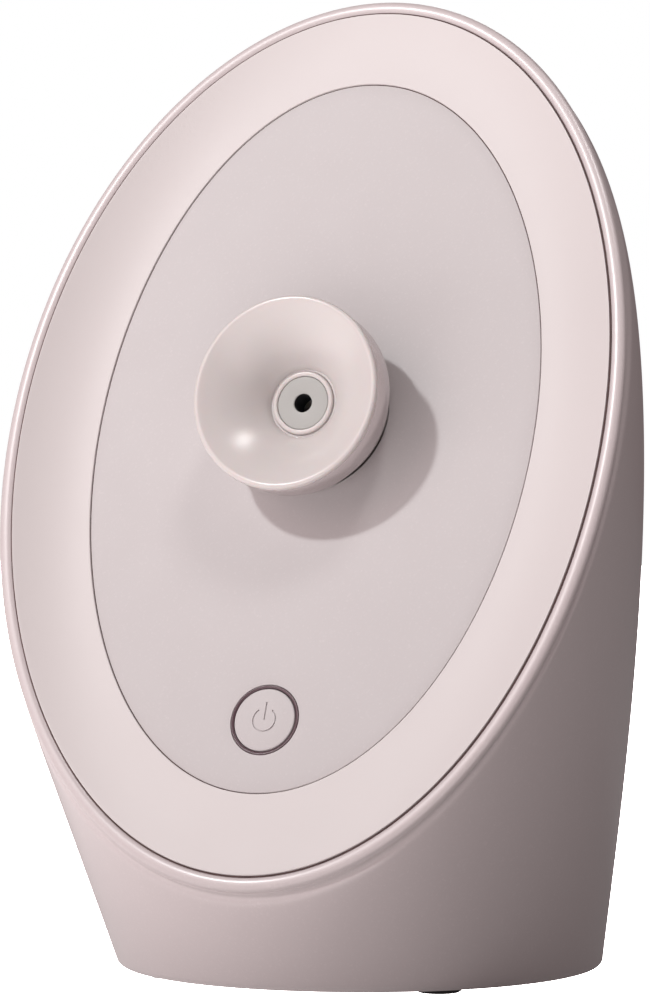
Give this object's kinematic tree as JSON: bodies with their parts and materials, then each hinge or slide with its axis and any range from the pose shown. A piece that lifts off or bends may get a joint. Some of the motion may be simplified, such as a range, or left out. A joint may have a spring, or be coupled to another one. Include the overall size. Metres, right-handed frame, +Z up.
{
  "type": "facial steamer",
  "caption": "Tabletop facial steamer: tapering shell with a leaning oval face, swivelling and tilting steam nozzle, power button, and a water tank that slides out of the back.",
  "frame": {"origin": "centre of the round foot, on the table under the rubber feet", "axes": "+Z up, -Y the way the face looks, +X to the right for someone who faces the object"},
  "size_m": [0.1764, 0.1457, 0.2642],
  "materials": {
    "housing": "satin mauve-grey moulded plastic with a soft pearl sheen",
    "face_ring": "pale pink satin-gloss plastic",
    "face_panel": "satin mauve plastic",
    "bell": "pale pink gloss plastic",
    "ball": "silvery pearl plastic",
    "tip": "grey heat-proof plastic",
    "button": "satin mauve plastic",
    "button_ring": "dark translucent plastic ring",
    "base": "fine textured plastic",
    "rubber": "dark rubber",
    "steel": "zinc-plated steel",
    "inner_plastic": "natural moulded plastic",
    "dark_plastic": "black plastic",
    "silicone": "milky silicone",
    "seal": "red-brown silicone seal",
    "tank": "clear smoke-tinted plastic",
    "aluminium": "die-cast aluminium",
    "board": "circuit board",
    "copper": "varnished winding and core",
    "wire": "insulated wire",
    "ceramic": "ceramic",
    "relay": "blue relay case"
  },
  "bodies": {
    "root": {"housing": "housing", "front_ring": "face_ring", "front_panel": "face_panel", "base_cover": "base", "rubber_feet": "rubber", "base_screws": "steel", "inner_bracket": "inner_plastic", "bracket_screws": "steel", "nozzle_bearing": "inner_plastic", "bearing_cap": "inner_plastic", "button_bezel": "button_ring", "button_spring": "silicone", "tact_switch": "dark_plastic", "control_board": "board", "tank_cradle": "inner_plastic", "tank_spigot": "inner_plastic", "feed_hose": "silicone", "boiler_body": "aluminium", "boiler_gasket": "seal", "boiler_lid": "inner_plastic", "lid_screws": "steel", "boiler_stand": "steel", "heater_element": "steel", "thermostat": "dark_plastic", "thermal_fuse": "ceramic", "steam_hose": "silicone", "power_board": "board", "transformer": "copper", "capacitors": "dark_plastic", "relay": "relay", "power_inlet": "dark_plastic", "inlet_pins": "steel", "wiring_harness": "wire"},
    "nozzle_yoke": {"nozzle_yoke": "dark_plastic", "stem_seal": "seal", "swivel_clip": "steel"},
    "nozzle_head": {"nozzle_bell": "bell", "nozzle_shell": "ball", "tip_ring": "bell", "steam_tip": "tip", "steam_sleeve": "silicone"},
    "button": {"button_cap": "button"},
    "tank": {"tank_body": "tank", "tank_cover": "housing", "tank_valve_seal": "silicone"},
    "plug": {"fill_plug": "silicone"}
  },
  "joints": [
    {"name": "nozzle_swivel", "type": "hinge", "parent": "root", "child": "nozzle_yoke", "pos_m": [0, -0.02868, 0.1481], "axis": [0, -0.9283, 0.3719], "range_deg": [-170, 170]},
    {"name": "nozzle_tilt", "type": "hinge", "parent": "nozzle_yoke", "child": "nozzle_head", "pos_m": [0, -0.04261, 0.15367], "axis": [1, 0, 0], "range_deg": [-24.5, 5.5], "deforming": ["steam_sleeve"]},
    {"name": "button_press", "type": "slide", "parent": "root", "child": "button", "axis": [0, 0.9283, -0.3719], "range_m": [0, 0.0006], "stiffness_N_per_m": 1500, "springref_m": -0.0005, "deforming": ["button_spring"]},
    {"name": "tank_slide", "type": "slide", "parent": "root", "child": "tank", "axis": [0, 1, 0], "range_m": [0, 0.065]},
    {"name": "plug_pull", "type": "slide", "parent": "tank", "child": "plug", "axis": [0, 1, 0], "range_m": [0, 0.012]}
  ]
}
